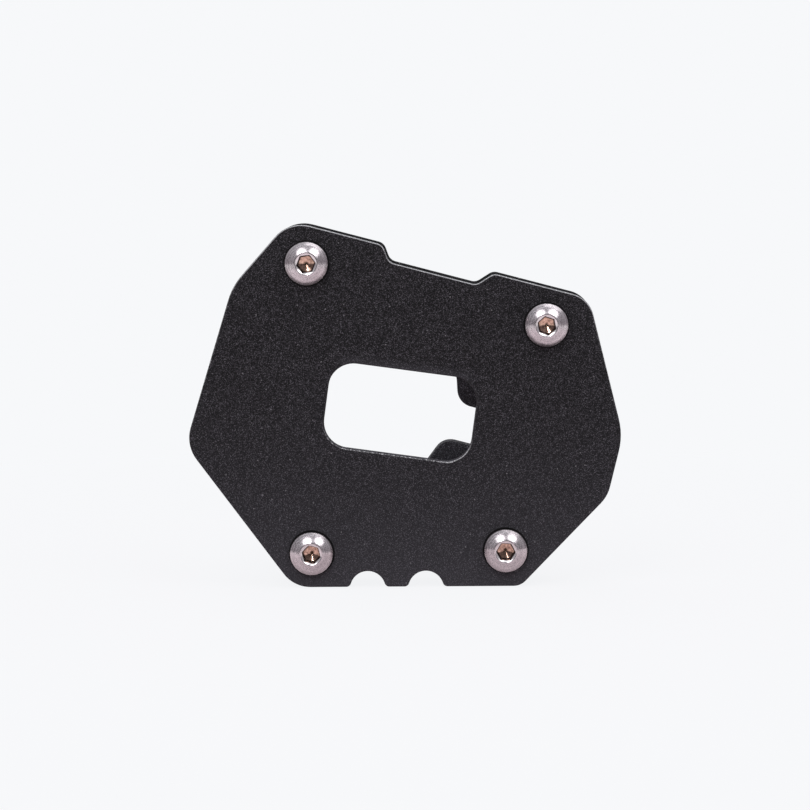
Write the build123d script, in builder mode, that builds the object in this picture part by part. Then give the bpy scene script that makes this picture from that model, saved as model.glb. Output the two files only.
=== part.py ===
from build123d import *
from math import radians, tan
import os

# Kickstand foot enlarger, standing upright on its straight edge.
# X runs to the right along that edge, Z runs up the plates, and Y runs through the stack:
# screw heads, sole plate, spacers, clamp plate, washers and lock nuts.
# All sizes are in millimetres and degrees.

# Plates, and the room between them for the foot of the stand
sole_thickness = 4.0
clamp_thickness = 3.0
foot_gap = 8.0
edge_round = 0.4

# Sharp corners of the outline that both plates share, from the middle of the straight edge
bottom_left_x = -27.2
left_tip_x = -53.0
left_tip_z = 34.8
left_shoulder_x = -41.15
left_shoulder_z = 73.1
top_left_x = -27.28
top_left_z = 88.74
top_right_x = 44.54
top_right_z = 69.58
right_tip_x = 52.56
right_tip_z = 36.5
right_heel_x = 48.87
right_heel_z = 21.7
bottom_right_x = 27.77

# Radii of the outline's corners
bottom_left_radius = 8.1
bottom_right_radius = 4.0
side_radius = 8.8
blunt_radius = 16.5
top_left_radius = 8.3
top_right_radius = 6.8

# Trapezoid notch in the sloping upper edge, placed from the middle of that edge
top_notch_shift = -0.27
top_notch_width = 27.55
top_notch_depth = 3.65
top_notch_left_flank = 55.0
top_notch_right_flank = 47.0
top_notch_radius = 2.5

# Pair of round notches in the straight edge
edge_notch_x = -2.2
edge_notch_pitch = 14.1
edge_notch_radius = 4.3
edge_notch_depth = 3.83
edge_notch_lip = 1.2

# Window in the sole plate
window_x = -1.11
window_z = 42.31
window_width = 36.0
window_height = 20.7
window_radius = 6.2
window_tilt = -8.0

# Fork in the clamp plate, on an axis along the upper edge, just above the window's centre
fork_rise = 0.15
mouth_width = 27.0
mouth_radius = 5.0
mouth_lip = 1.2
slot_width = 9.05
slot_reach = 34.0
upper_shoulder_angle = 72.0
lower_shoulder_angle = 68.0
upper_shoulder_reach = 13.3
lower_shoulder_reach = 11.95
lobe_radius = 4.3

# Distances from the edges beside each corner to the screw there
top_left_inset = 8.93
top_left_side_inset = 9.89
top_right_inset = 8.79
top_right_side_inset = 11.48
bottom_left_inset = 8.37
bottom_left_side_inset = 8.57
bottom_right_inset = 8.78
bottom_right_side_inset = 8.7

# M6 button-head screws
screw_diameter = 6.0
screw_hole_clearance = 0.6
thread_past_nut = 2.4
thread_lead = 0.8
head_diameter = 10.5
head_height = 3.3
head_rim = 1.3
head_flat_diameter = 5.6
socket_across_flats = 4.0
socket_depth = 2.2
socket_chamfer_diameter = 5.4
socket_chamfer_angle = 60.0
drill_point_angle = 59.0

# How far each hexagon socket is turned
top_left_turn = -8.0
top_right_turn = 19.0
bottom_left_turn = 14.0
bottom_right_turn = 2.0

# Spacers, washers and lock nuts on the screws
sleeve_clearance = 0.4
spacer_diameter = 10.0
spacer_edge = 0.3
washer_diameter = 12.0
washer_thickness = 1.6
washer_edge = 0.25
nut_across_flats = 10.0
nut_height = 6.0
nut_hex_height = 4.3
nut_corner_bevel = 30.0
nut_collar_diameter = 8.9
nut_collar_round = 0.5
nut_lip = 0.35
thread_clearance = 0.05
lock_ring_diameter = 7.8
lock_ring_height = 1.5
lock_ring_lip = 0.4

# Places through the stack, centred on the whole depth from screw heads to screw ends
grip = sole_thickness + foot_gap + clamp_thickness
screw_length = grip + washer_thickness + nut_height + thread_past_nut
sole_front = (head_height - screw_length) / 2
sole_back = sole_front + sole_thickness
clamp_front = sole_back + foot_gap
clamp_back = clamp_front + clamp_thickness
nut_seat = clamp_back + washer_thickness

# Corners of the outline, in X and Z
bottom_left = Vector(bottom_left_x, 0)
left_tip = Vector(left_tip_x, left_tip_z)
left_shoulder = Vector(left_shoulder_x, left_shoulder_z)
top_left = Vector(top_left_x, top_left_z)
top_right = Vector(top_right_x, top_right_z)
right_tip = Vector(right_tip_x, right_tip_z)
right_heel = Vector(right_heel_x, right_heel_z)
bottom_right = Vector(bottom_right_x, 0)

# Directions along the upper edge and square to it
along_top = (top_right - top_left).normalized()
above_top = Vector(-along_top.Y, along_top.X)


def upright(y):
    """A plane that faces the front at depth y, with sketch x along X and sketch y along Z."""
    return Plane(origin=(0, y, 0), x_dir=(1, 0, 0), z_dir=(0, -1, 0))


def inset(before, corner, after, from_first, from_second):
    """The point at the given distances from the two edges that meet at a corner."""
    first = (corner - before).normalized()
    second = (after - corner).normalized()
    turn = abs(first.cross(second).Z)
    return corner - first * (from_second / turn) + second * (from_first / turn)


screw_places = {
    "top_left": inset(left_shoulder, top_left, top_right, top_left_side_inset, top_left_inset),
    "top_right": inset(top_left, top_right, right_tip, top_right_inset, top_right_side_inset),
    "bottom_left": inset(bottom_right, bottom_left, left_tip, bottom_left_inset, bottom_left_side_inset),
    "bottom_right": inset(right_heel, bottom_right, bottom_left, bottom_right_side_inset, bottom_right_inset),
}
socket_turns = {
    "top_left": top_left_turn,
    "top_right": top_right_turn,
    "bottom_left": bottom_left_turn,
    "bottom_right": bottom_right_turn,
}


def at_screws(y):
    """Locations on the four screw axes at depth y."""
    return [Location((place.X, y, place.Y)) for place in screw_places.values()]


os.makedirs("parts", exist_ok=True)

# Outline of both plates, with its notches
notch_middle = (top_left + top_right) / 2 + along_top * top_notch_shift
notch_left = notch_middle - along_top * (top_notch_width / 2)
notch_right = notch_middle + along_top * (top_notch_width / 2)
left_flank_run = along_top * (top_notch_depth / tan(radians(top_notch_left_flank)))
right_flank_run = along_top * (top_notch_depth / tan(radians(top_notch_right_flank)))
notch_drop = above_top * top_notch_depth
outline_corners = [
    (bottom_left, bottom_left_radius),
    (left_tip, side_radius),
    (left_shoulder, blunt_radius),
    (top_left, top_left_radius),
    (notch_left, top_notch_radius),
    (notch_left + left_flank_run - notch_drop, top_notch_radius),
    (notch_right - right_flank_run - notch_drop, top_notch_radius),
    (notch_right, top_notch_radius),
    (top_right, top_right_radius),
    (right_tip, blunt_radius),
    (right_heel, side_radius),
    (bottom_right, bottom_right_radius),
]
with BuildSketch() as plate_outline:
    with BuildLine():
        FilletPolyline(
            [corner for corner, radius in outline_corners],
            radius=[radius for corner, radius in outline_corners],
            close=True,
        )
    make_face()
    with Locations((edge_notch_x, edge_notch_depth - edge_notch_radius)):
        with GridLocations(edge_notch_pitch, 0, 2, 1):
            Circle(edge_notch_radius, mode=Mode.SUBTRACT)
    notch_lips = plate_outline.vertices().group_by(Axis.Y)[0].sort_by(Axis.X)[1:-1]
    fillet(notch_lips, edge_notch_lip)

# Screw holes of both plates
with BuildSketch() as screw_holes:
    with Locations(*screw_places.values()):
        Circle((screw_diameter + screw_hole_clearance) / 2)

# Sole plate, with the window
with BuildPart() as sole_plate:
    with BuildSketch(upright(sole_front)):
        add(plate_outline.sketch_local)
        with Locations((window_x, window_z)):
            RectangleRounded(
                window_width, window_height, window_radius, rotation=window_tilt, mode=Mode.SUBTRACT
            )
    extrude(amount=-sole_thickness)
    sole_faces = sole_plate.faces().sort_by(Axis.Y)
    fillet(sole_faces[0].edges() + sole_faces[-1].edges(), edge_round)
    with BuildSketch(upright(sole_front)):
        add(screw_holes.sketch_local)
    extrude(amount=-sole_thickness, mode=Mode.SUBTRACT)
sole_plate.part.label = "sole_plate"
export_step(sole_plate.part, "parts/sole_plate.step")


def fork(along, across):
    """A point of the fork, along its axis from the window's centre, and across it."""
    return Vector(window_x, window_z) + along_top * along + above_top * (fork_rise + across)


def fork_place(corner):
    """How far a corner lies along the fork's axis, and across it."""
    from_start = corner.center() - fork(0, 0)
    return from_start.dot(along_top), from_start.dot(above_top)


# Clamp plate, with the fork that takes the leg of the stand
half_mouth = mouth_width / 2
half_slot = slot_width / 2
upper_shoulder_run = (half_mouth - half_slot) / tan(radians(upper_shoulder_angle))
lower_shoulder_run = (half_mouth - half_slot) / tan(radians(lower_shoulder_angle))
past_left_edge = window_x - left_tip_x + mouth_width
mouth_corners = [
    fork(upper_shoulder_reach - upper_shoulder_run, half_mouth),
    fork(lower_shoulder_reach - lower_shoulder_run, -half_mouth),
]
lobe_corners = [
    fork(upper_shoulder_reach, half_slot),
    fork(lower_shoulder_reach, -half_slot),
]
slot_end = slot_reach - half_slot
with BuildPart() as clamp_plate:
    with BuildSketch(upright(clamp_front)) as clamp_outline:
        add(plate_outline.sketch_local)
        with BuildLine():
            Polyline(
                fork(-past_left_edge, half_mouth),
                mouth_corners[0],
                lobe_corners[0],
                fork(slot_end, half_slot),
                fork(slot_end, -half_slot),
                lobe_corners[1],
                mouth_corners[1],
                fork(-past_left_edge, -half_mouth),
                close=True,
            )
        make_face(mode=Mode.SUBTRACT)
        with Locations(fork(slot_end, 0)):
            Circle(half_slot, mode=Mode.SUBTRACT)
        for corners, radius in ((mouth_corners, mouth_radius), (lobe_corners, lobe_radius)):
            for corner in corners:
                fillet(clamp_outline.vertices().sort_by_distance(corner)[0], radius)
        # Each wall of the mouth ends in a rounded lip, which the edges beside it have room for
        for wall in (half_mouth, -half_mouth):
            on_wall = [v for v in clamp_outline.vertices() if abs(fork_place(v)[1] - wall) < 0.001]
            lip = min(on_wall, key=lambda v: fork_place(v)[0])
            beside = [edge.length for edge in clamp_outline.edges() if lip in edge.vertices()]
            fillet(lip, min(mouth_lip, min(beside) * 0.55))
    extrude(amount=-clamp_thickness)
    clamp_faces = clamp_plate.faces().sort_by(Axis.Y)
    fillet(clamp_faces[0].edges() + clamp_faces[-1].edges(), edge_round)
    with BuildSketch(upright(clamp_front)):
        add(screw_holes.sketch_local)
    extrude(amount=-clamp_thickness, mode=Mode.SUBTRACT)
clamp_plate.part.label = "clamp_plate"
export_step(clamp_plate.part, "parts/clamp_plate.step")

# Spacers, one on each screw between the plates
sleeve_bore = screw_diameter + sleeve_clearance
for name, place in screw_places.items():
    with BuildPart() as spacer:
        with BuildSketch(upright(sole_back)):
            with Locations(place):
                Circle(spacer_diameter / 2)
                Circle(sleeve_bore / 2, mode=Mode.SUBTRACT)
        extrude(amount=-foot_gap)
        chamfer(spacer.edges().filter_by(GeomType.CIRCLE), spacer_edge)
    spacer.part.label = f"spacer_{name}"
    export_step(spacer.part, f"parts/spacer_{name}.step")

# One screw on the Y axis, its head's seat at the origin and its head towards -Y
with BuildPart() as screw:
    with BuildSketch(Plane.XY):
        with BuildLine():
            head_edge = Line((head_diameter / 2, 0), (head_diameter / 2, -head_rim))
            flat = Line((head_flat_diameter / 2, -head_height), (0, -head_height))
            # The dome is part of a sphere whose centre lies on the screw's axis
            edge_point = head_edge @ 1
            flat_point = flat @ 0
            centre_y = (edge_point.length**2 - flat_point.length**2) / (
                2 * (edge_point.Y - flat_point.Y)
            )
            dome_centre = Vector(0, centre_y)
            dome_radius = (edge_point - dome_centre).length
            middle = ((edge_point + flat_point) / 2 - dome_centre).normalized()
            ThreePointArc(edge_point, dome_centre + middle * dome_radius, flat_point)
            Polyline(
                flat @ 1,
                (0, screw_length),
                (screw_diameter / 2 - thread_lead, screw_length),
                (screw_diameter / 2, screw_length - thread_lead),
                (screw_diameter / 2, 0),
                head_edge @ 0,
            )
        make_face()
    revolve(axis=Axis.Y)
    with BuildSketch(Plane.XY):
        with BuildLine():
            socket_mouth = socket_chamfer_diameter / 2
            Polyline(
                (0, -head_height),
                (socket_mouth, -head_height),
                (0, -head_height + socket_mouth / tan(radians(socket_chamfer_angle))),
                close=True,
            )
        make_face()
    revolve(axis=Axis.Y, mode=Mode.SUBTRACT)
    with BuildSketch(upright(-head_height)):
        RegularPolygon(socket_across_flats / 2, 6, major_radius=False)
    extrude(amount=-socket_depth, mode=Mode.SUBTRACT)
    with BuildSketch(Plane.XY):
        with BuildLine():
            drill_radius = socket_across_flats / 2
            socket_floor = -head_height + socket_depth
            Polyline(
                (0, socket_floor),
                (drill_radius, socket_floor),
                (0, socket_floor + drill_radius / tan(radians(drill_point_angle))),
                close=True,
            )
        make_face()
    revolve(axis=Axis.Y, mode=Mode.SUBTRACT)

with BuildPart() as button_head_screws:
    for name, place in screw_places.items():
        with Locations(Location((place.X, sole_front, place.Y), (0, socket_turns[name], 0))):
            add(screw.part)
button_head_screws.part.label = "button_head_screws"
export_step(button_head_screws.part, "parts/button_head_screws.step")

# Washers behind the clamp plate
with BuildPart() as washers:
    with BuildSketch(upright(clamp_back)):
        with Locations(*screw_places.values()):
            Circle(washer_diameter / 2)
            Circle(sleeve_bore / 2, mode=Mode.SUBTRACT)
    extrude(amount=-washer_thickness)
    fillet(washers.edges().filter_by(GeomType.CIRCLE), washer_edge)
washers.part.label = "washers"
export_step(washers.part, "parts/washers.step")

# One lock nut on the Y axis, its seat at the origin and its collar towards +Y
nut_bore = screw_diameter + 2 * thread_clearance
ring_top = nut_height - nut_lip
ring_seat = ring_top - lock_ring_height
with BuildPart() as nut:
    with BuildSketch(upright(0)) as nut_hexagon:
        RegularPolygon(nut_across_flats / 2, 6, major_radius=False)
    extrude(amount=-nut_hex_height)
    with BuildSketch(Plane.XY):
        with BuildLine():
            corner_reach = nut_hexagon.vertices()[0].center().length
            face_reach = nut_across_flats / 2
            bevel = (corner_reach - face_reach) * tan(radians(nut_corner_bevel))
            Polyline(
                (0, 0),
                (face_reach, 0),
                (corner_reach, bevel),
                (corner_reach, nut_hex_height - bevel),
                (face_reach, nut_hex_height),
                (0, nut_hex_height),
                close=True,
            )
        make_face()
    revolve(axis=Axis.Y, mode=Mode.INTERSECT)
    with BuildSketch(upright(nut_hex_height)):
        Circle(nut_collar_diameter / 2)
    extrude(amount=nut_hex_height - nut_height)
    fillet(nut.faces().sort_by(Axis.Y)[-1].edges(), nut_collar_round)
    with BuildSketch(upright(0)):
        Circle(nut_bore / 2)
    extrude(amount=-nut_height, mode=Mode.SUBTRACT)
    with BuildSketch(upright(ring_seat)):
        Circle(lock_ring_diameter / 2)
    extrude(amount=-lock_ring_height, mode=Mode.SUBTRACT)
    with BuildSketch(upright(ring_top)):
        Circle(lock_ring_diameter / 2 - lock_ring_lip)
    extrude(amount=-nut_lip, mode=Mode.SUBTRACT)

with BuildPart() as lock_nuts:
    with Locations(*at_screws(nut_seat)):
        add(nut.part)
lock_nuts.part.label = "lock_nuts"
export_step(lock_nuts.part, "parts/lock_nuts.step")

# Nylon rings held in the collars of the nuts
with BuildPart() as lock_rings:
    with BuildSketch(upright(nut_seat + ring_seat)):
        with Locations(*screw_places.values()):
            Circle(lock_ring_diameter / 2)
            Circle(nut_bore / 2, mode=Mode.SUBTRACT)
    extrude(amount=-lock_ring_height)
lock_rings.part.label = "lock_rings"
export_step(lock_rings.part, "parts/lock_rings.step")
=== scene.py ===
# %% [markdown]
# # A kickstand foot enlarger
# Two black plates are bolted together with a gap for the foot of the stand between them. The shapes and
# sizes come from the imported CAD model, and this lesson dresses it: the light, the finish of each piece,
# and screws with the small forms that a plain solid leaves out.
#
# The scene is in metres, in the frame of the CAD model, so no piece is fitted by eye. Small sizes are
# written in millimetres and multiplied by MM. The first step loads that frame, and a small function in it
# measures the box of any of its pieces. The finished model has to stay inside it.

# %% Load the frame
import math

import bmesh
import bpy
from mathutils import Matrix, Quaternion, Vector


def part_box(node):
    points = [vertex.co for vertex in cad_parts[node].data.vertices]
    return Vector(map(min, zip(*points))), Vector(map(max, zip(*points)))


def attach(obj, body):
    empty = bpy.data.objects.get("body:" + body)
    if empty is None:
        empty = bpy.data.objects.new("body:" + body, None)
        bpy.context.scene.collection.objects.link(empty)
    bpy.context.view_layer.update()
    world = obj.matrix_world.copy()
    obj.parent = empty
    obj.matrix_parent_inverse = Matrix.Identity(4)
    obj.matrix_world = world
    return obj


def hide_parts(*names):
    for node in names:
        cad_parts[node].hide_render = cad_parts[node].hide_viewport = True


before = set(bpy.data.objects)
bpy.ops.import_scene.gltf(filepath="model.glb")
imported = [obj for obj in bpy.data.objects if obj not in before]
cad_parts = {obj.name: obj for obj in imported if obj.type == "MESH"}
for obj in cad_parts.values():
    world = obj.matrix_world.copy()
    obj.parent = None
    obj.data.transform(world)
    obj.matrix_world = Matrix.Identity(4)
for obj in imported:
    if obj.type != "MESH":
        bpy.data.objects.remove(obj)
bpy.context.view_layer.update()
MM = 0.001
print("CAD nodes:", sorted(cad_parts))

# %% [markdown]
# ## The camera
# The part stands upright on its straight edge, seen nearly square-on and a little from above with a long
# lens. The place of a camera can be guessed and nudged until the picture fits. Here it was worked out
# from the plate's two long directions, which meet at their vanishing points, so only the tiny roll of a
# camera that wasn't quite level had to be added.

# %% Camera
camera_place = Vector((11.9, -703.05, 105.45)) * MM
camera_aim = Vector((0.13, -10.85, 44.18)) * MM
camera_roll = Quaternion((0, 0, 1), math.radians(-0.49))

lens = bpy.data.cameras.new("long_lens")
lens.sensor_width = 36.0
lens.lens = 128.27
camera = bpy.data.objects.new("camera", lens)
bpy.context.scene.collection.objects.link(camera)
camera.location = camera_place
camera.rotation_mode = "QUATERNION"
camera.rotation_quaternion = (camera_aim - camera_place).to_track_quat("-Z", "Y") @ camera_roll
bpy.context.scene.camera = camera
bpy.context.scene.view_settings.view_transform = "Standard"
print("camera is", round((camera_aim - camera_place).length, 3), "m from the plate")

# %% [markdown]
# ## Small helpers for node trees
# Materials, groups and the world are all node trees, and their code is mostly three moves: add a node with
# some values, join two sockets, and combine values with a Math node. Three short functions keep the recipes
# below readable.

# %% Node helpers
def node(tree, kind, **settings):
    """Adds a node. A setting whose name is an attribute is set there, and any other one on a socket."""
    made = tree.nodes.new(kind)
    for name, value in settings.items():
        if hasattr(made, name):
            setattr(made, name, value)
        else:
            made.inputs[name.replace("_", " ")].default_value = value
    return made


def join(tree, source, target):
    """Joins two sockets. A node stands for its first output."""
    tree.links.new(source.outputs[0] if isinstance(source, bpy.types.Node) else source, target)


def combine(tree, operation, first, *others, clamp=False):
    """Adds the Math nodes that make one value of two or more, and gives the last of them."""
    for other in others:
        made = node(tree, "ShaderNodeMath", operation=operation, use_clamp=clamp)
        join(tree, first, made.inputs[0])
        join(tree, other, made.inputs[1])
        first = made
    return first


# %% [markdown]
# ## The studio
# The part was photographed on a bright white sweep, under two soft boxes side by side, above and in front
# of it. The boxes matter most, because they are what the shiny screw heads show. A sharp line across
# each head, at mid height, is the far edge of the white floor, and above it the room is darker.
#
# The world is therefore a gradient that only light and reflections see, dim at the horizon and paler
# overhead. A second gradient runs from the camera's side to the back and dims both ends: the room is dark
# behind the camera, which the hexagon sockets show, and gives little light behind the part. What the camera
# sees directly is plain white, told apart by the Light Path node. Mirrors and glass see that white too, but
# only behind the part, where the sweep stands.

# %% World
white_sweep = (0.930, 0.939, 0.956, 1.0)
room_heights = [
    (0.02, (0.34, 0.325, 0.35)),
    (0.35, (0.43, 0.43, 0.455)),
    (0.75, (0.56, 0.58, 0.61)),
    (1.00, (0.76, 0.79, 0.83)),
]
behind_from, behind_full = 0.45, 0.90
room_depths = [(-0.80, 0.35), (-0.62, 1.0), (behind_from, 1.0), (behind_full, 0.12)]


def gradient(tree, stops):
    """A colour ramp with a stop at each position and colour given, all past 0."""
    made = node(tree, "ShaderNodeValToRGB")
    elements = made.color_ramp.elements
    elements.remove(elements[1])
    for position, colour in stops:
        elements.new(position).color = (*colour, 1.0)
    elements.remove(elements[0])
    return made


world = bpy.data.worlds.new("studio")
bpy.context.scene.world = world
world.use_nodes = True
tree = world.node_tree
tree.nodes.clear()
toward = node(tree, "ShaderNodeTexCoord")
direction = node(tree, "ShaderNodeSeparateXYZ")
room = gradient(tree, room_heights)
depth = node(tree, "ShaderNodeMapRange", From_Min=-1.0)
share = gradient(tree, [((reach + 1) / 2, (light, light, light)) for reach, light in room_depths])
behind = node(tree, "ShaderNodeMapRange", From_Min=behind_from, From_Max=behind_full)
rays = node(tree, "ShaderNodeLightPath").outputs
room_light = node(tree, "ShaderNodeBackground")
seen_white = node(tree, "ShaderNodeBackground", Color=white_sweep)
either = node(tree, "ShaderNodeMixShader")
world_out = node(tree, "ShaderNodeOutputWorld")
join(tree, toward.outputs["Generated"], direction.inputs[0])
join(tree, direction.outputs["Z"], room.inputs[0])
join(tree, direction.outputs["Y"], depth.inputs["Value"])
join(tree, direction.outputs["Y"], behind.inputs["Value"])
join(tree, depth, share.inputs[0])
join(tree, room, room_light.inputs["Color"])
join(tree, share, room_light.inputs["Strength"])
mirrored = combine(tree, "ADD", rays["Is Glossy Ray"], rays["Is Transmission Ray"], clamp=True)
mirrored_behind = combine(tree, "MULTIPLY", mirrored, behind)
white_share = combine(tree, "ADD", rays["Is Camera Ray"], mirrored_behind, clamp=True)
join(tree, white_share, either.inputs[0])
join(tree, room_light, either.inputs[1])
join(tree, seen_white, either.inputs[2])
join(tree, either, world_out.inputs[0])
print("world:", len(tree.nodes), "nodes")

# %% [markdown]
# ## The soft boxes
# A soft box is an area lamp: a flat shape that gives off light, and that a mirror shows. The photo's heads
# show two round ones. Their places follow from the heads too. A highlight sits where the dome's normal
# points halfway between the camera and the lamp, so its distance from the middle of the head gives the
# lamp's direction. A long narrow strip overhead, a little to the right, draws the thin crescents on the
# upper rims, and a small lamp above the camera the glints deep in the sockets. A weak one behind lights the
# back of the part.

# %% Lamps
part_middle = Vector((0, -10, 45)) * MM
lamp_colour = (0.96, 0.985, 1.0)


def soft_box(name, direction, distance, sizes, power):
    """A round or oval area lamp that faces the part."""
    lamp = bpy.data.lights.new(name, "AREA")
    lamp.shape = "ELLIPSE"
    lamp.size, lamp.size_y = sizes
    lamp.energy = power
    lamp.color = lamp_colour
    holder = bpy.data.objects.new(name, lamp)
    bpy.context.scene.collection.objects.link(holder)
    holder.location = part_middle + Vector(direction).normalized() * distance
    holder.rotation_euler = (part_middle - holder.location).to_track_quat("-Z", "Y").to_euler()
    return holder


lamps = [
    soft_box("soft_box_left", (-0.346, -0.570, 0.745), distance=1.0, sizes=(0.66, 0.66), power=2.7),
    soft_box("soft_box_right", (0.475, -0.476, 0.741), distance=1.0, sizes=(0.66, 0.66), power=2.7),
    soft_box("overhead_strip", (0.38, 0.02, 0.92), distance=0.9, sizes=(0.18, 1.0), power=0.66),
    soft_box("camera_lamp", (-0.188, -0.816, 0.548), distance=1.0, sizes=(0.13, 0.13), power=1.5),
    soft_box("soft_box_back", (-0.30, 0.66, 0.69), distance=1.1, sizes=(0.80, 0.80), power=1.8),
]
print("lamps:", [lamp.name for lamp in lamps])

# %% [markdown]
# ## The floor
# A white floor that a lamp has to light to pure white would throw too much light back at the part. So the
# floor is a plain pale surface for light, and for the camera it is mostly a white glow of the same colour
# as the world, which hides where the floor ends. Near the part it keeps some of its own shading, so the
# part still stands on a soft shadow. Mirrors see that glow too, but only further out: close to the part
# they see the paper as it is lit.

# %% Floor
floor_half = 1.2
floor_level = -0.0001
paper_colour = (0.92, 0.82, 0.835, 1.0)

floor_mesh = bpy.data.meshes.new("floor")
floor_mesh.from_pydata(
    [(x * floor_half, y * floor_half, floor_level) for x, y in ((-1, -1), (1, -1), (1, 1), (-1, 1))],
    [],
    [(0, 1, 2, 3)],
)
floor = bpy.data.objects.new("floor", floor_mesh)
bpy.context.scene.collection.objects.link(floor)

paper = bpy.data.materials.new("white_paper")
paper.use_nodes = True
tree = paper.node_tree
tree.nodes.clear()
place = node(tree, "ShaderNodeTexCoord")
away = node(tree, "ShaderNodeVectorMath", operation="LENGTH")
seen_share = node(tree, "ShaderNodeMapRange", From_Min=0.05, From_Max=0.30, To_Min=0.93, To_Max=1.0)
mirror_share = node(tree, "ShaderNodeMapRange", From_Min=0.06, From_Max=0.40, To_Min=0.0, To_Max=1.0)
rays = node(tree, "ShaderNodeLightPath").outputs
matt = node(tree, "ShaderNodeBsdfDiffuse", Color=paper_colour)
glow = node(tree, "ShaderNodeEmission", Color=white_sweep)
either = node(tree, "ShaderNodeMixShader")
paper_out = node(tree, "ShaderNodeOutputMaterial")
join(tree, place.outputs["Object"], away.inputs[0])
join(tree, away.outputs["Value"], seen_share.inputs["Value"])
join(tree, away.outputs["Value"], mirror_share.inputs["Value"])
mirrored = combine(tree, "ADD", rays["Is Glossy Ray"], rays["Is Transmission Ray"], clamp=True)
seen_glow = combine(tree, "MULTIPLY", rays["Is Camera Ray"], seen_share)
mirror_glow = combine(tree, "MULTIPLY", mirrored, mirror_share)
join(tree, combine(tree, "ADD", seen_glow, mirror_glow, clamp=True), either.inputs[0])
join(tree, matt, either.inputs[1])
join(tree, glow, either.inputs[2])
join(tree, either, paper_out.inputs[0])
floor_mesh.materials.append(paper)
print("floor is", 2 * floor_half, "m square")

# %% [markdown]
# ## Effects that several finishes share
# Each effect is a node group: a small machine with named inputs and outputs that is built once and placed
# in any material with its own values. A group here gives only masks and heights. The shader itself stays
# in the material, where the export can read it.

# %% Group helper
def effect_group(name, inputs, outputs):
    """A shader node group with float inputs {name: default}, a vector input Place, and float outputs."""
    made = bpy.data.node_groups.new(name, "ShaderNodeTree")
    made.interface.new_socket("Place", in_out="INPUT", socket_type="NodeSocketVector")
    for label, default in inputs.items():
        socket = made.interface.new_socket(label, in_out="INPUT", socket_type="NodeSocketFloat")
        socket.default_value = default
    for label in outputs:
        made.interface.new_socket(label, in_out="OUTPUT", socket_type="NodeSocketFloat")
    return made, made.nodes.new("NodeGroupInput"), made.nodes.new("NodeGroupOutput")


# %% [markdown]
# ### Powder grain
# Powder coat is baked from dry powder, and a textured one sets as fine sand: crowded grains about a seventh
# of a millimetre across, each a little lighter or darker than the next, and a stray bright fleck here and
# there. A Voronoi texture divides the surface into cells and gives each one a random colour, so one of them
# gives the grains their tones and a coarser one picks the few cells that hold a fleck. The tone fades away
# from the middle of its cell, or the grains would look like flat chips of stone. A noise of the same size is
# the height for the bump.

# %% Powder grain group
powder_grain, given, result = effect_group(
    "powder_grain",
    {"Grains per metre": 7500.0, "Contrast": 6.0, "Flecks per metre": 900.0, "Fleck share": 0.07},
    ["Height", "Tone", "Fleck"],
)
lumps = node(powder_grain, "ShaderNodeTexNoise", Detail=1.5, Roughness=0.6)
grains = node(powder_grain, "ShaderNodeTexVoronoi")
grain_tone = node(powder_grain, "ShaderNodeSeparateColor")
grain_fade = node(powder_grain, "ShaderNodeMapRange", From_Min=0.25, From_Max=0.80, To_Min=1.0, To_Max=0.2)
cells = node(powder_grain, "ShaderNodeTexVoronoi")
pick = node(powder_grain, "ShaderNodeSeparateColor")
dot = node(powder_grain, "ShaderNodeMapRange", From_Min=0.10, From_Max=0.17, To_Min=1.0, To_Max=0.0)
for texture, label in ((lumps, "Grains"), (grains, "Grains"), (cells, "Flecks")):
    join(powder_grain, given.outputs["Place"], texture.inputs["Vector"])
    join(powder_grain, given.outputs[label + " per metre"], texture.inputs["Scale"])
join(powder_grain, grains.outputs["Color"], grain_tone.inputs[0])
join(powder_grain, grains.outputs["Distance"], grain_fade.inputs["Value"])
join(powder_grain, cells.outputs["Color"], pick.inputs[0])
join(powder_grain, cells.outputs["Distance"], dot.inputs["Value"])
few_light = combine(powder_grain, "POWER", grain_tone, given.outputs["Contrast"])
picked = combine(powder_grain, "LESS_THAN", pick, given.outputs["Fleck share"])
join(powder_grain, lumps.outputs[0], result.inputs["Height"])
join(powder_grain, combine(powder_grain, "MULTIPLY", few_light, grain_fade), result.inputs["Tone"])
join(powder_grain, combine(powder_grain, "MULTIPLY", dot, picked), result.inputs["Fleck"])
print("powder_grain:", len(powder_grain.nodes), "nodes")

# %% [markdown]
# ### Edge and wall masks
# The rounded upper edges of both plates get a painted highlight, and the cut walls behind them painted
# shade. Both can be told from the surface's own direction: on a rounding it leans between the flat face,
# which looks along Y, and the wall, which looks across it. So the group takes the normal, and needs no image
# mask. Of roundings and walls it also gives the part that looks up, and it tells the back of a plate from
# its front.

# %% Edge and wall masks group
edge_and_wall_masks, given, result = effect_group(
    "edge_and_wall_masks", {"Lean": 0.55}, ["Rounding", "Upper rounding", "Wall", "Upper wall", "Back"]
)
lean = node(edge_and_wall_masks, "ShaderNodeSeparateXYZ")
flatness = node(edge_and_wall_masks, "ShaderNodeMath", operation="ABSOLUTE")
off_wall = node(edge_and_wall_masks, "ShaderNodeMapRange", From_Min=0.28, To_Min=0.0, To_Max=1.0)
off_face = node(edge_and_wall_masks, "ShaderNodeMapRange", From_Min=0.88, From_Max=0.97, To_Min=1.0, To_Max=0.0)
upward = node(edge_and_wall_masks, "ShaderNodeMapRange", From_Min=0.05, From_Max=0.45, To_Min=0.0, To_Max=1.0)
backward = node(edge_and_wall_masks, "ShaderNodeMapRange", From_Min=0.3, From_Max=0.7, To_Min=0.0, To_Max=1.0)
on_wall = node(edge_and_wall_masks, "ShaderNodeMath", operation="SUBTRACT")
on_wall.inputs[0].default_value = 1.0
join(edge_and_wall_masks, given.outputs["Place"], lean.inputs[0])
join(edge_and_wall_masks, lean.outputs["Y"], flatness.inputs[0])
join(edge_and_wall_masks, flatness, off_wall.inputs["Value"])
join(edge_and_wall_masks, given.outputs["Lean"], off_wall.inputs["From Max"])
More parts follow.
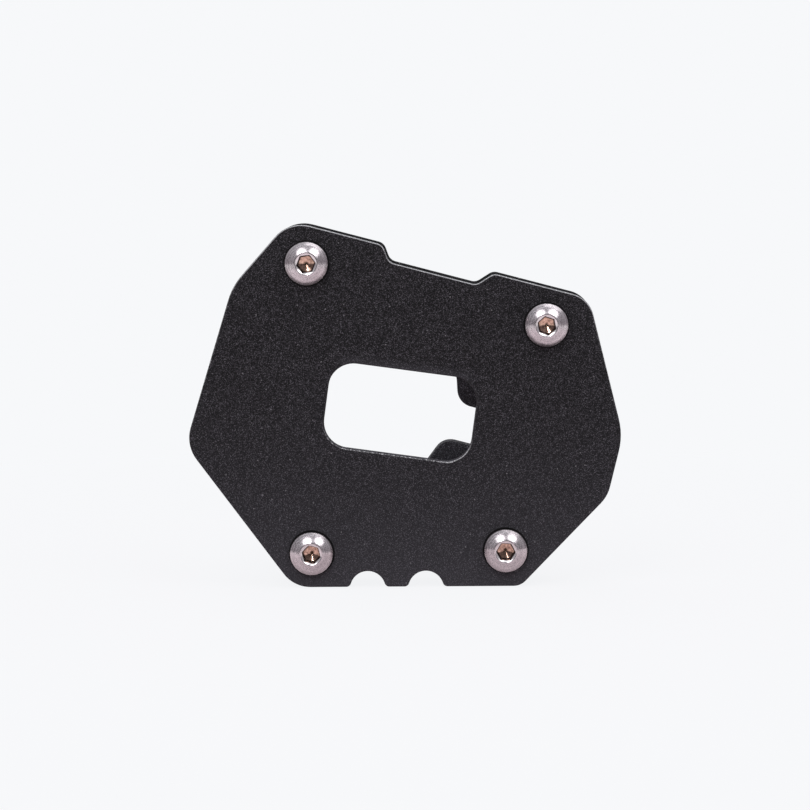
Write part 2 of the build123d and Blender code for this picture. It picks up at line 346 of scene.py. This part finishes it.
join(edge_and_wall_masks, flatness, off_face.inputs["Value"])
join(edge_and_wall_masks, lean.outputs["Z"], upward.inputs["Value"])
join(edge_and_wall_masks, lean.outputs["Y"], backward.inputs["Value"])
join(edge_and_wall_masks, off_wall, on_wall.inputs[1])
rounding = combine(edge_and_wall_masks, "MULTIPLY", off_wall, off_face)
join(edge_and_wall_masks, rounding, result.inputs["Rounding"])
join(edge_and_wall_masks, combine(edge_and_wall_masks, "MULTIPLY", rounding, upward), result.inputs["Upper rounding"])
join(edge_and_wall_masks, on_wall, result.inputs["Wall"])
join(edge_and_wall_masks, combine(edge_and_wall_masks, "MULTIPLY", on_wall, upward), result.inputs["Upper wall"])
join(edge_and_wall_masks, backward, result.inputs["Back"])
print("edge_and_wall_masks:", len(edge_and_wall_masks.nodes), "nodes")

# %% [markdown]
# ### Painted shadow round the screws
# Where a head or a washer meets the coat, a thin black ring is painted: painted shade for the contact
# shadow. It follows the distance from the nearest of the four screw axes, so the group measures that
# distance to each axis and keeps the least.
# The screws lie along Y, so only X and Z count in it. The list gives each screw's X and Z in millimetres,
# and how many degrees its socket is turned.

# %% Shadow ring group
screw_places = {
    "top_left": (-23.22, 78.41, 22),
    "top_right": (34.27, 63.22, 49),
    "bottom_left": (-22.74, 8.37, 44),
    "bottom_right": (24.17, 8.78, 32),
}


def flat_distance(tree, place):
    """How far a place is from the Y axis."""
    flat = node(tree, "ShaderNodeVectorMath", operation="MULTIPLY")
    flat.inputs[1].default_value = (1, 0, 1)
    distance = node(tree, "ShaderNodeVectorMath", operation="LENGTH")
    join(tree, place, flat.inputs[0])
    join(tree, flat, distance.inputs[0])
    return distance.outputs["Value"]


screw_shadow_ring, given, result = effect_group("screw_shadow_ring", {"Inner": 0.0054, "Outer": 0.0058}, ["Ring"])
distances = []
for x, z, _ in screw_places.values():
    to_axis = node(screw_shadow_ring, "ShaderNodeVectorMath", operation="SUBTRACT")
    to_axis.inputs[1].default_value = (x * MM, 0, z * MM)
    join(screw_shadow_ring, given.outputs["Place"], to_axis.inputs[0])
    distances.append(flat_distance(screw_shadow_ring, to_axis))
ring = node(screw_shadow_ring, "ShaderNodeMapRange", To_Min=1.0, To_Max=0.0)
join(screw_shadow_ring, combine(screw_shadow_ring, "MINIMUM", *distances), ring.inputs["Value"])
join(screw_shadow_ring, given.outputs["Inner"], ring.inputs["From Min"])
join(screw_shadow_ring, given.outputs["Outer"], ring.inputs["From Max"])
join(screw_shadow_ring, ring, result.inputs["Ring"])
print("screw_shadow_ring:", len(screw_shadow_ring.nodes), "nodes")

# %% [markdown]
# ### Near a place
# Painted light and shade, and the bright chamfer of each socket, keep to a part of a plate or of a screw.
# Such a place is a round patch, 1 in its middle and fading to 0, seen along the screws' direction. So only X
# and Z count here too.

# %% Near place group
near_place, given, result = effect_group(
    "near_place", {"X": 0.0, "Z": 0.0, "Inner": 0.01, "Outer": 0.02}, ["Mask"]
)
middle = node(near_place, "ShaderNodeCombineXYZ")
to_middle = node(near_place, "ShaderNodeVectorMath", operation="SUBTRACT")
fade = node(near_place, "ShaderNodeMapRange", To_Min=1.0, To_Max=0.0)
join(near_place, given.outputs["X"], middle.inputs["X"])
join(near_place, given.outputs["Z"], middle.inputs["Z"])
join(near_place, given.outputs["Place"], to_middle.inputs[0])
join(near_place, middle, to_middle.inputs[1])
join(near_place, flat_distance(near_place, to_middle), fade.inputs["Value"])
join(near_place, given.outputs["Inner"], fade.inputs["From Min"])
join(near_place, given.outputs["Outer"], fade.inputs["From Max"])
join(near_place, fade, result.inputs["Mask"])
print("near_place:", len(near_place.nodes), "nodes")

# %% [markdown]
# ### Tool marks
# A turned piece carries the track of the lathe tool: rings that change quickly along one direction and
# hardly at all round the piece. The group takes a Place whose X is the direction across the rings and
# stretches the noise along the other two.

# %% Tool marks group
tool_marks, given, result = effect_group(
    "tool_marks", {"Rings per metre": 9000.0, "Streak": 0.03}, ["Height", "Tone"]
)
split = node(tool_marks, "ShaderNodeSeparateXYZ")
stretched = node(tool_marks, "ShaderNodeCombineXYZ")
rings = node(tool_marks, "ShaderNodeTexNoise", Scale=1.0, Detail=2.0, Roughness=0.6)
bands = node(tool_marks, "ShaderNodeTexNoise", Scale=0.45, Detail=1.0, Roughness=0.5)
join(tool_marks, given.outputs["Place"], split.inputs[0])
across_scale = given.outputs["Rings per metre"]
along_scale = combine(tool_marks, "MULTIPLY", across_scale, given.outputs["Streak"])
for axis, scale in (("X", across_scale), ("Y", along_scale), ("Z", along_scale)):
    join(tool_marks, combine(tool_marks, "MULTIPLY", split.outputs[axis], scale), stretched.inputs[axis])
join(tool_marks, stretched, rings.inputs["Vector"])
join(tool_marks, stretched, bands.inputs["Vector"])
join(tool_marks, rings.outputs[0], result.inputs["Height"])
join(tool_marks, bands.outputs[0], result.inputs["Tone"])
print("tool_marks:", len(tool_marks.nodes), "nodes")

# %% [markdown]
# ### Handling marks
# Metal parts tumble against each other in a box before they are sold. That leaves a cloudy sheen with fine
# dull specks: a coarse noise and a fine one. Every metal here uses them, and the nylon does too.

# %% Handling marks group
handling_marks, given, result = effect_group(
    "handling_marks", {"Clouds per metre": 400.0, "Grit per metre": 9000.0}, ["Cloud", "Grit"]
)
clouds = node(handling_marks, "ShaderNodeTexNoise", Detail=3.0, Roughness=0.65)
grit = node(handling_marks, "ShaderNodeTexNoise", Detail=2.0, Roughness=0.7)
for texture, count, label in ((clouds, "Clouds per metre", "Cloud"), (grit, "Grit per metre", "Grit")):
    join(handling_marks, given.outputs["Place"], texture.inputs["Vector"])
    join(handling_marks, given.outputs[count], texture.inputs["Scale"])
    join(handling_marks, texture.outputs[0], result.inputs[label])
print("handling_marks:", len(handling_marks.nodes), "nodes")

# %% [markdown]
# ## Finishes
# Every finish is one Principled shader. Values that are the same all over are set on the shader itself,
# and what changes over the surface comes from the groups. The helpers below make the empty finish, place a
# group in it, spread a value or a colour between two ends by a mask, lay one colour over another, feed the
# bump, and give pieces their finish.

# %% Finish helpers
def finish_of(name, **values):
    """A material with a Principled shader and its object coordinates."""
    made = bpy.data.materials.new(name)
    made.use_nodes = True
    tree = made.node_tree
    shader = tree.nodes["Principled BSDF"]
    for label, value in values.items():
        shader.inputs[label.replace("_", " ")].default_value = value
    return made, tree, shader, node(tree, "ShaderNodeTexCoord").outputs["Object"]


def place_group(tree, group, place, **values):
    """Places a shared effect in a material and gives it its own values."""
    made = tree.nodes.new("ShaderNodeGroup")
    made.node_tree = group
    for label, value in values.items():
        made.inputs[label.replace("_", " ")].default_value = value
    join(tree, place, made.inputs["Place"])
    return made


def spread(tree, mask, low, high, target, start=0.3, end=0.7):
    """Feeds target with a value that goes from low to high as the mask goes from start to end."""
    ramp = node(tree, "ShaderNodeMapRange", From_Min=start, From_Max=end, To_Min=low, To_Max=high)
    join(tree, mask, ramp.inputs["Value"])
    join(tree, ramp, target)


def tint(tree, mask, low, high, start=0.3, end=0.7):
    """A colour that goes from low to high as the mask goes from start to end."""
    ramp = node(tree, "ShaderNodeValToRGB")
    ramp.color_ramp.elements[0].position = start
    ramp.color_ramp.elements[0].color = (*low, 1.0)
    ramp.color_ramp.elements[1].position = end
    ramp.color_ramp.elements[1].color = (*high, 1.0)
    join(tree, mask, ramp.inputs[0])
    return ramp.outputs["Color"]


def over(tree, mask, below, above):
    """A colour, plain or from a socket, laid over another where the mask is 1."""
    mix = node(tree, "ShaderNodeMix", data_type="RGBA")
    join(tree, mask, mix.inputs["Factor"])
    join(tree, below, mix.inputs[6])
    if isinstance(above, tuple):
        mix.inputs[7].default_value = (*above, 1.0)
    else:
        join(tree, above, mix.inputs[7])
    return mix.outputs[2]


def bump(tree, height, shader, distance, strength):
    """Feeds the shader's normal from a height."""
    made = node(tree, "ShaderNodeBump", Distance=distance, Strength=strength)
    join(tree, height, made.inputs["Height"])
    join(tree, made, shader.inputs["Normal"])


def dress(finish, *names):
    """Gives CAD pieces their finish."""
    for name in names:
        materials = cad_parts[name].data.materials
        materials.clear()
        materials.append(finish)


# %% [markdown]
# ### Powder coat
# Both plates are black, a touch violet, and matt with a soft sheen. The colour is laid in layers: grains,
# the same grains painted lighter, a few flecks, painted shade on the walls, a painted sheen on the window's
# ledge, painted highlights on the window's roundings and the upper edges, and a painted shadow round the
# screws last. Away from the highlit places the upper edges get only painted glints here and there: coarser
# grains of the same kind, of which the contrast leaves only a few pale, more of them at the window's lower
# corner.
#
# The plates differ in where these lie. The near plate is painted lighter towards the ground, for the light
# that the floor throws back, and highlit most along its upper edges. The far plate is painted lighter and
# highlit only round its fork, which lies in shade behind the window, and has no glints. Its front is a
# darker copy of its coat: painted shade. The backs of both are plain and clean.
#
# Four small functions find places: a round patch, the lighter part near the ground, which fades along a
# curve, and distances along a direction, with or without their sign.

# %% Places of painted light and shade
def patch(tree, place, where):
    """The mask of a round patch."""
    return place_group(tree, near_place, place, **where).outputs["Mask"]


def near_ground(tree, place, top, curve):
    """A mask that is 1 at the ground and falls along a curve to 0 at the top."""
    split = node(tree, "ShaderNodeSeparateXYZ")
    share = node(tree, "ShaderNodeMapRange", From_Max=top, To_Min=1.0, To_Max=0.0)
    curved = node(tree, "ShaderNodeMath", operation="POWER")
    curved.inputs[1].default_value = curve
    join(tree, place, split.inputs[0])
    join(tree, split.outputs["Z"], share.inputs["Value"])
    join(tree, share, curved.inputs[0])
    return curved


def along(tree, place, degrees):
    """How far a place lies along a direction across Y: 0 degrees is up, and 90 is to the right."""
    made = node(tree, "ShaderNodeVectorMath", operation="DOT_PRODUCT")
    made.inputs[1].default_value = (math.sin(math.radians(degrees)), 0, math.cos(math.radians(degrees)))
    join(tree, place, made.inputs[0])
    return made.outputs["Value"]


def either_way(tree, distance):
    """A distance without its sign."""
    made = node(tree, "ShaderNodeMath", operation="ABSOLUTE")
    join(tree, distance, made.inputs[0])
    return made


# %% Powder coat
coat_tint = Vector((1.0, 0.92, 1.05))
lighter_tint = Vector((1.0, 0.94, 1.085))
pale_tint = Vector((1.0, 0.98, 1.01))
plain_back = (0.0048, 0.186)
shaded_wall_greys = (0.0012, 0.042)
ledge_sheen_greys = (0.025, 0.44)
sparkle_grey = 0.90
shadow_ring_grey = 0.001
fleck_colour = (0.16, 0.153, 0.163)
coat_roughness = (0.52, 0.70)
sparkles_per_metre = 4000.0
window_patch = {"X": -0.001, "Z": 0.042, "Inner": 0.022, "Outer": 0.026}
corner_patch = {"X": 0.0137, "Z": 0.0316, "Inner": 0.003, "Outer": 0.008}


def grain_colour(tree, tone, greys, shade=coat_tint):
    """The colour of grains, from the darkest of two greys to the lightest."""
    darkest, lightest = greys
    return tint(tree, tone, tuple(shade * darkest), tuple(shade * lightest), 0.0, 1.0)


def powder_coat(name, front_greys, lighter_greys, lighter_place, painted_edge_place, highlight_greys, sparkle_contrast, window_highlight_grey, shadow_ring):
    """A black textured coat. Pairs of greys are those of its darkest and lightest grains."""
    made, tree, shader, place = finish_of(name, Specular_IOR_Level=0.12)
    normal = node(tree, "ShaderNodeTexCoord").outputs["Normal"]
    grain = place_group(tree, powder_grain, place)
    tone = grain.outputs["Tone"]
    edges = place_group(tree, edge_and_wall_masks, normal).outputs
    rings = place_group(tree, screw_shadow_ring, place, Inner=shadow_ring[0], Outer=shadow_ring[1])
    lighter = lighter_place(tree, place)
    painted_edges = painted_edge_place(tree, place)
    window = patch(tree, place, window_patch)
    # Painted glints: coarse grains that leave a few pale specks on the upward roundings.
    sparkles = place_group(tree, powder_grain, place, Grains_per_metre=sparkles_per_metre)
    spread(tree, patch(tree, place, corner_patch), *sparkle_contrast, sparkles.inputs["Contrast"], 0.0, 1.0)

    shaded_wall = combine(tree, "MULTIPLY", edges["Wall"], painted_edges)
    lit_ledge = combine(tree, "MULTIPLY", edges["Upper wall"], window)
    window_highlight = combine(tree, "MULTIPLY", edges["Rounding"], window)
    sparkling_edge = combine(tree, "MULTIPLY", edges["Upper rounding"], sparkles.outputs["Tone"])
    highlit_edge = combine(tree, "MULTIPLY", edges["Upper rounding"], painted_edges)

    coat = grain_colour(tree, tone, front_greys)
    # Painted light: the same grains made lighter, towards the ground for the floor's light, and round the
    # far plate's fork.
    coat = over(tree, lighter, coat, grain_colour(tree, tone, lighter_greys, lighter_tint))
    coat = over(tree, edges["Back"], coat, grain_colour(tree, tone, plain_back))
    coat = over(tree, grain.outputs["Fleck"], coat, fleck_colour)
    # Painted shade: the walls behind the highlit edges are made blacker, for the shade seen above the top
    # edges.
    coat = over(tree, shaded_wall, coat, grain_colour(tree, tone, shaded_wall_greys))
    # Painted sheen: the window's upward wall made pale, for the light and sheen it catches.
    coat = over(tree, lit_ledge, coat, grain_colour(tree, tone, ledge_sheen_greys))
    # Painted highlight: a lighter line along the window's roundings.
    coat = over(tree, window_highlight, coat, tuple(coat_tint * window_highlight_grey))
    # Painted glints on the upward roundings, as grains catching the lamps.
    coat = over(tree, sparkling_edge, coat, tuple(pale_tint * sparkle_grey))
    # Painted highlight: upward roundings made pale, up to white, where the soft boxes would light them.
    coat = over(tree, highlit_edge, coat, grain_colour(tree, tone, highlight_greys, pale_tint))
    # Painted shade: a black ring round each head and washer, standing in for its contact shadow.
    coat = over(tree, rings.outputs["Ring"], coat, tuple(coat_tint * shadow_ring_grey))
    join(tree, coat, shader.inputs["Base Color"])

    roughest = node(tree, "ShaderNodeMath", operation="MAXIMUM")
    spread(tree, grain.outputs["Height"], *coat_roughness, roughest.inputs[0])
    join(tree, edges["Wall"], roughest.inputs[1])
    join(tree, roughest, shader.inputs["Roughness"])
    bump(tree, grain.outputs["Height"], shader, distance=0.00010, strength=0.5)
    return made


# %% Coat the plates
fork_patch = {"X": 0.013, "Z": 0.042, "Inner": 0.012, "Outer": 0.022}
upper_edge_patch = {"X": 0.009, "Z": 0.100, "Inner": 0.050, "Outer": 0.062}
window_middle = Vector((-1.11, 0, 42.31)) * MM
window_tilt = 8
floor_light_top = 0.088
floor_light_curve = 3.9


def near_fork(tree, place):
    """Round the fork, which lies in shade behind the window, where the far plate gets its painted light."""
    return patch(tree, place, fork_patch)


def upper_edges(tree, place):
    """Where the upper edges and the corners beside them get painted highlights, and their walls painted
    shade.
    """
    return patch(tree, place, upper_edge_patch)


def sole_lighter(tree, place):
    """Painted light from the floor near the ground, and a fainter lighter strip above the window's sloping
    upper edge.
    """
    from_middle = node(tree, "ShaderNodeVectorMath", operation="SUBTRACT")
    from_middle.inputs[1].default_value = window_middle
    join(tree, place, from_middle.inputs[0])
    up = along(tree, from_middle, window_tilt)
    aside = either_way(tree, along(tree, from_middle, window_tilt + 90))
    fades = []
    for distance, start, end, most in [
        (up, 9.0, 10.0, 1.0),
        (up, 12.8, 10.4, 0.70),
        (aside, 18.0, 13.0, 1.0),
    ]:
        fade = node(tree, "ShaderNodeMapRange", From_Min=start * MM, From_Max=end * MM, To_Max=most)
        join(tree, distance, fade.inputs["Value"])
        fades.append(fade)
    strip = combine(tree, "MULTIPLY", *fades)
    return combine(tree, "MAXIMUM", near_ground(tree, place, floor_light_top, floor_light_curve), strip)


coats = {
    "sole_plate": powder_coat(
        "sole_coat",
        front_greys=(0.0044, 0.171),
        lighter_greys=(0.0342, 0.132),
        lighter_place=sole_lighter,
        painted_edge_place=upper_edges,
        highlight_greys=(0.31, 1.0),
        sparkle_contrast=(2.4, 0.6),
        window_highlight_grey=0.028,
        shadow_ring=(0.00548, 0.00562),
    ),
    "clamp_plate": powder_coat(
        # Painted shade: the far plate's front is a darker copy of its coat, for the shade between the
        # plates.
        "clamp_coat",
        front_greys=(0.0016, 0.066),
        lighter_greys=(0.028, 0.310),
        # Painted light: the fork is made lighter for the shade it lies in.
        lighter_place=near_fork,
        painted_edge_place=near_fork,
        highlight_greys=(0.12, 0.62),
        sparkle_contrast=(400.0, 400.0),
        window_highlight_grey=0.03,
        shadow_ring=(0.0061, 0.0063),
    ),
}
for name, coat in coats.items():
    dress(coat, name)
print("coats:", {name: coat.name for name, coat in coats.items()})

# %% [markdown]
# ### Stainless steel
# Washers and nuts are stamped and tumbled, so they have the cloudy sheen and no rings. The screw heads
# are turned: their rings run round the axis, so the distance from the axis goes into the X of the tool
# marks. Fine dark pits from the tumbling dull those rings. The narrow chamfer round the socket was cut
# last, so it has no pits and is the brightest.

# %% Tumbled stainless
tumbled_steel, tree, shader, place = finish_of("tumbled_steel", Metallic=1.0)
marks = place_group(tree, handling_marks, place)
steel = tint(tree, marks.outputs["Cloud"], (0.46, 0.43, 0.43), (0.60, 0.57, 0.57))
join(tree, steel, shader.inputs["Base Color"])
spread(tree, marks.outputs["Cloud"], 0.22, 0.36, shader.inputs["Roughness"])
bump(tree, marks.outputs["Grit"], shader, distance=0.00003, strength=0.35)
dress(tumbled_steel, "washers", "lock_nuts")
print("tumbled steel:", len(tree.nodes), "nodes")

# %% Turned stainless
pits_per_metre = 4500.0
pit_share = 0.75
pit_colour = (0.22, 0.194, 0.201)
chamfer_colour = (0.74, 0.675, 0.685)
chamfer_patch = {"Inner": 2.48 * MM, "Outer": 2.60 * MM}


def ring_place(tree, place, across=None):
    """A Place for the tool marks. Its X is a distance across the rings, or else the place along Y."""
    split = node(tree, "ShaderNodeSeparateXYZ")
    made = node(tree, "ShaderNodeCombineXYZ")
    join(tree, place, split.inputs[0])
    join(tree, split.outputs["Y"] if across is None else across, made.inputs["X"])
    join(tree, split.outputs["X"], made.inputs["Y"])
    join(tree, split.outputs["Z"], made.inputs["Z"])
    return made


turned_steel, tree, shader, place = finish_of("turned_steel", Metallic=1.0)
rings = place_group(tree, tool_marks, ring_place(tree, place, flat_distance(tree, place)))
marks = place_group(tree, handling_marks, place, Grit_per_metre=pits_per_metre)
steel = tint(tree, rings.outputs["Tone"], (0.505, 0.445, 0.462), (0.69, 0.619, 0.638))
pits = tint(tree, marks.outputs["Grit"], (pit_share,) * 3, (0.0,) * 3, 0.38, 0.52)
steel = over(tree, pits, steel, pit_colour)
steel = over(tree, patch(tree, place, chamfer_patch), steel, chamfer_colour)
join(tree, steel, shader.inputs["Base Color"])
spread(tree, marks.outputs["Cloud"], 0.17, 0.24, shader.inputs["Roughness"])
bump(tree, rings.outputs["Height"], shader, distance=0.00002, strength=0.35)
print("turned steel:", len(tree.nodes), "nodes")

# %% [markdown]
# ### The brown sockets
# The inside of each hexagon socket is brown. It is still metal, so its drill point mirrors the floor, the
# dark room and a lamp. The walls and a thin line along their foot are painted black, and so is the very
# point:
# painted shade, for the shadow deep in the socket. How near a place is to the walls is its greatest distance
# along the three directions that the hexagon's flats face. The place of the screw is added to that of the
# brown clouds, so that no two sockets look alike.

# %% Socket finish
socket_half = 2.0
flat_directions = (30, 90, 150)
brown_dark = (0.27, 0.162, 0.122)
brown_light = (0.76, 0.485, 0.385)
wall_shade_colour = (0.03, 0.022, 0.02)
point_shade_colour = (0.07, 0.045, 0.03)
point_patch = {"Inner": 0.2 * MM, "Outer": 0.7 * MM}

punched_socket, tree, shader, place = finish_of("punched_socket", Metallic=1.0)
own_place = node(tree, "ShaderNodeVectorMath", operation="ADD")
join(tree, place, own_place.inputs[0])
join(tree, node(tree, "ShaderNodeObjectInfo").outputs["Location"], own_place.inputs[1])
marks = place_group(tree, handling_marks, own_place, Clouds_per_metre=1600.0)
to_wall = combine(tree, "MAXIMUM", *[either_way(tree, along(tree, place, flat)) for flat in flat_directions])
wall_shade = node(tree, "ShaderNodeMapRange", From_Min=1.65 * MM, From_Max=1.80 * MM, To_Min=0.0, To_Max=0.95)
join(tree, to_wall, wall_shade.inputs["Value"])

brown = tint(tree, marks.outputs["Cloud"], brown_dark, brown_light, 0.35, 0.65)
# Painted shade at the very point of the drill.
brown = over(tree, patch(tree, place, point_patch), brown, point_shade_colour)
# Painted shade on the walls and along their foot.
brown = over(tree, wall_shade, brown, wall_shade_colour)
join(tree, brown, shader.inputs["Base Color"])
spread(tree, marks.outputs["Cloud"], 0.16, 0.10, shader.inputs["Roughness"])
bump(tree, marks.outputs["Grit"], shader, distance=0.00003, strength=0.08)
print("socket:", len(tree.nodes), "nodes")

# %% [markdown]
# ### Spacers and lock rings
# The spacers are aluminium, turned along their length, so their rings are read along Y. The lock rings are
# milky nylon, moulded without rings, and only slightly cloudy.

# %% Spacer and ring finishes
turned_aluminium, tree, shader, place = finish_of("turned_aluminium", Metallic=1.0)
rings = place_group(tree, tool_marks, ring_place(tree, place), Rings_per_metre=6000.0, Streak=0.01)
marks = place_group(tree, handling_marks, place)
aluminium = tint(tree, rings.outputs["Tone"], (0.66, 0.66, 0.67), (0.80, 0.80, 0.81))
join(tree, aluminium, shader.inputs["Base Color"])
spread(tree, marks.outputs["Cloud"], 0.26, 0.40, shader.inputs["Roughness"])
bump(tree, rings.outputs["Height"], shader, distance=0.00004, strength=0.5)

milky_nylon, tree, shader, place = finish_of("milky_nylon")
marks = place_group(tree, handling_marks, place)
nylon = tint(tree, marks.outputs["Cloud"], (0.62, 0.63, 0.62), (0.76, 0.77, 0.76))
join(tree, nylon, shader.inputs["Base Color"])
spread(tree, marks.outputs["Cloud"], 0.38, 0.52, shader.inputs["Roughness"])
bump(tree, marks.outputs["Grit"], shader, distance=0.00003, strength=0.3)

dress(turned_aluminium, *["spacer_" + corner for corner in screw_places])
dress(milky_nylon, "lock_rings")
print("finishes:", [m.name for m in bpy.data.materials])

# %% [markdown]
# ## The screws
# The CAD screw is a plain solid: a shank, a domed head and a hexagon socket. The real one also has a
# thread, a rolled rim, a softened edge round the socket and a drill point at its bottom. All of it is round
# or nearly so, so each screw is a stack of rings joined into a skin, from the drill point out over the head
# and down to the end of the thread. A ring need not be a circle: the socket's are hexagons, and a thread is
# a ring whose radius changes with the angle.

# %% Screw sizes
head_radius = 5.25
head_height = 3.3
dome_radius = 6.558
dome_end = 4.55
rim_slope = math.tan(math.radians(46.6))
flat_radius = 2.8
chamfer_radius = 2.58
chamfer_slope = math.tan(math.radians(60))
socket_depth = 2.2
drill_slope = math.tan(math.radians(70))
thread_radius = 2.98
thread_depth = 0.61
thread_pitch = 1.0
screw_length = 28.3
ring_points = 72


def hexagon(angle):
    """The radius of the socket's hexagon at an angle, with a corner at angle 0."""
    off_middle = (angle % (math.pi / 3)) - math.pi / 6
    return socket_half / math.cos(off_middle)


def dome(radius):
    """How far the dome lies behind the top of the head. Its outermost part is a straight cone."""
    on_ball = min(radius, dome_end)
    sunk = math.sqrt(dome_radius**2 - on_ball**2)
    return math.sqrt(dome_radius**2 - flat_radius**2) - sunk + (radius - on_ball) * rim_slope


print("socket in mm:", 2 * socket_half, "across flats,", round(2 * hexagon(0), 2), "across corners")

# %% [markdown]
# ### The rings of a screw
# A ring is a function that takes an angle and gives a radius and a depth behind the top of the head, both in
# millimetres. Two rings close together make a crisp edge, and rings further apart a soft one. So the lists
# below only say where the rings lie, in the order in which the skin passes them.

# %% Socket rings
drill_steps = (0.25, 0.6, 1.0, 1.4, 1.75, 1.97)
drill_lip = 0.02
corner_share = 0.2
floor_inset = 0.03
wall_step = 0.05
mid_wall_depth = 0.35
mid_wall_share = 0.9
chamfer_inset = 0.07


def circle(radius, depth):
    """A round ring."""
    return lambda angle: (radius, depth)


def chamfer_at(radius):
    """The depth of the chamfer at a radius."""
    return (chamfer_radius - radius) / chamfer_slope


def drill_edge(angle):
    """Just outside the drill's circle, drawn out a little towards the hexagon's corners."""
    drawn_out = socket_half + drill_lip + corner_share * (hexagon(angle) - socket_half)
    return min(hexagon(angle) - drill_lip, drawn_out), socket_depth


def floor_edge(angle):
    """The flat rest of the socket's floor, up to the wall."""
    return hexagon(angle) - floor_inset, socket_depth


def wall_foot(angle):
    """The lower end of the wall."""
    return hexagon(angle), socket_depth - wall_step


def mid_wall(angle):
    """Some way up the wall, following the curve of the chamfer's edge."""
    return hexagon(angle), mid_wall_depth + chamfer_at(hexagon(angle)) * mid_wall_share


def wall_top(angle):
    """Just below where the wall meets the chamfer."""
    return hexagon(angle), chamfer_at(hexagon(angle)) + wall_step


def softened(angle):
    """Just past that edge, on the chamfer."""
    radius = hexagon(angle) + chamfer_inset
    return radius, chamfer_at(radius)


socket_rings = [circle(r, socket_depth + (socket_half - r) / drill_slope) for r in drill_steps]
socket_rings += [drill_edge, floor_edge, wall_foot, mid_wall, wall_top, softened]
print("socket rings:", len(socket_rings))

# %% Head rings
chamfer_end = 0.06
rim_radius = 5.19
fillet_radius = 3.2
fillet_height = 0.2
socket_lip = [
    (chamfer_radius - chamfer_end, chamfer_end / chamfer_slope + 0.005),
    (chamfer_radius, 0.012),
    (chamfer_radius + 0.04, 0.0),
    (flat_radius, 0.004),
]
dome_steps = (2.9, 3.1, 3.4, 3.7, 4.0, 4.3, dome_end, 4.8, 5.05, rim_radius)
upper_roll = [(5.225, 0.06), (5.244, 0.13), (head_radius, 0.22)]
lower_roll = [(head_radius, 0.2), (5.2, 0.06), (5.1, 0.0)]

head_rings = [circle(r, depth) for r, depth in socket_lip]
head_rings += [circle(r, dome(r)) for r in dome_steps]
head_rings += [circle(r, dome(rim_radius) + below) for r, below in upper_roll]
head_rings += [circle(r, head_height - above) for r, above in lower_roll]
head_rings += [circle(fillet_radius, head_height), circle(thread_radius, head_height + fillet_height)]
print("head rings:", len(head_rings))

# %% Thread rings
thread_start = 12.0
thread_lead = 0.05
thread_step = 0.1
thread_fade = 1.5
crest_share = 0.15
flank_share = 0.65
end_chamfer = 0.6
end_rounding = 0.15


def thread_ring(depth):
    """A ring across the thread: its radius rises and falls once round, and climbs a pitch per turn."""
    fade = min(1.0, (depth - thread_start) / thread_fade)
    tip = max(0.0, depth - (screw_length - end_chamfer))

    def radius_at(angle):
        phase = (depth / thread_pitch - angle / (2 * math.pi)) % 1.0
        groove = min(1.0, max(0.0, (abs(phase - 0.5) * 2 - crest_share) / flank_share))
        crest = thread_radius - groove * thread_depth * fade
        return min(crest, thread_radius - tip), depth

    return radius_at


thread_count = int((screw_length - thread_start) / thread_step) + 1
thread_rings = [circle(thread_radius, thread_start - thread_lead)]
thread_rings += [thread_ring(thread_start + thread_step * i) for i in range(thread_count)]
thread_rings += [circle(thread_radius - end_chamfer - end_rounding, screw_length)]
print("thread rings:", len(thread_rings))

# %% [markdown]
# ### The skin
# Each ring gets the same number of points, so a point has its neighbour on the next ring at the same angle,
# and four of them make a face. Only the two ends need triangles, round the drill point and the end of the
# thread. Smooth shading with sharp edges kept hides the facets and leaves the hexagon crisp.

# %% Screw skin
sharp_angle = math.radians(35)


def screw_mesh(name):
    """Joins the rings into one closed skin. The socket's faces take the second material."""
    rings = socket_rings + head_rings + thread_rings
    skin = bmesh.new()
    rows = []
    for ring in rings:
        row = []
        for i in range(ring_points):
            angle = 2 * math.pi * i / ring_points
            radius, depth = ring(angle)
            point = Vector((radius * math.sin(angle), depth, radius * math.cos(angle)))
            row.append(skin.verts.new(point * MM))
        rows.append(row)
    for k in range(len(rows) - 1):
        for i in range(ring_points):
            j = (i + 1) % ring_points
            face = skin.faces.new((rows[k][i], rows[k][j], rows[k + 1][j], rows[k + 1][i]))
            face.material_index = 1 if k < len(socket_rings) - 1 else 0
    drill_tip = skin.verts.new(Vector((0, socket_depth + socket_half / drill_slope, 0)) * MM)
    screw_end = skin.verts.new(Vector((0, screw_length, 0)) * MM)
    for i in range(ring_points):
        j = (i + 1) % ring_points
        skin.faces.new((drill_tip, rows[0][j], rows[0][i])).material_index = 1
        skin.faces.new((screw_end, rows[-1][i], rows[-1][j]))
    bmesh.ops.recalc_face_normals(skin, faces=skin.faces)
    mesh = bpy.data.meshes.new(name)
    skin.to_mesh(mesh)
    skin.free()
    mesh.materials.append(turned_steel)
    mesh.materials.append(punched_socket)
    mesh.shade_smooth()
    mesh.set_sharp_from_angle(angle=sharp_angle)
    return mesh


# %% Place the screws
head_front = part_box("button_head_screws")[0].y
for corner, (x, z, turn) in screw_places.items():
    screw = bpy.data.objects.new("screw_" + corner, screw_mesh("screw_" + corner))
    bpy.context.scene.collection.objects.link(screw)
    screw.location = (x * MM, head_front, z * MM)
    screw.rotation_euler = (0, math.radians(turn), 0)
    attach(screw, "root")
    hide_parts("button_head_screws")
    print(screw.name, len(screw.data.polygons), "faces")
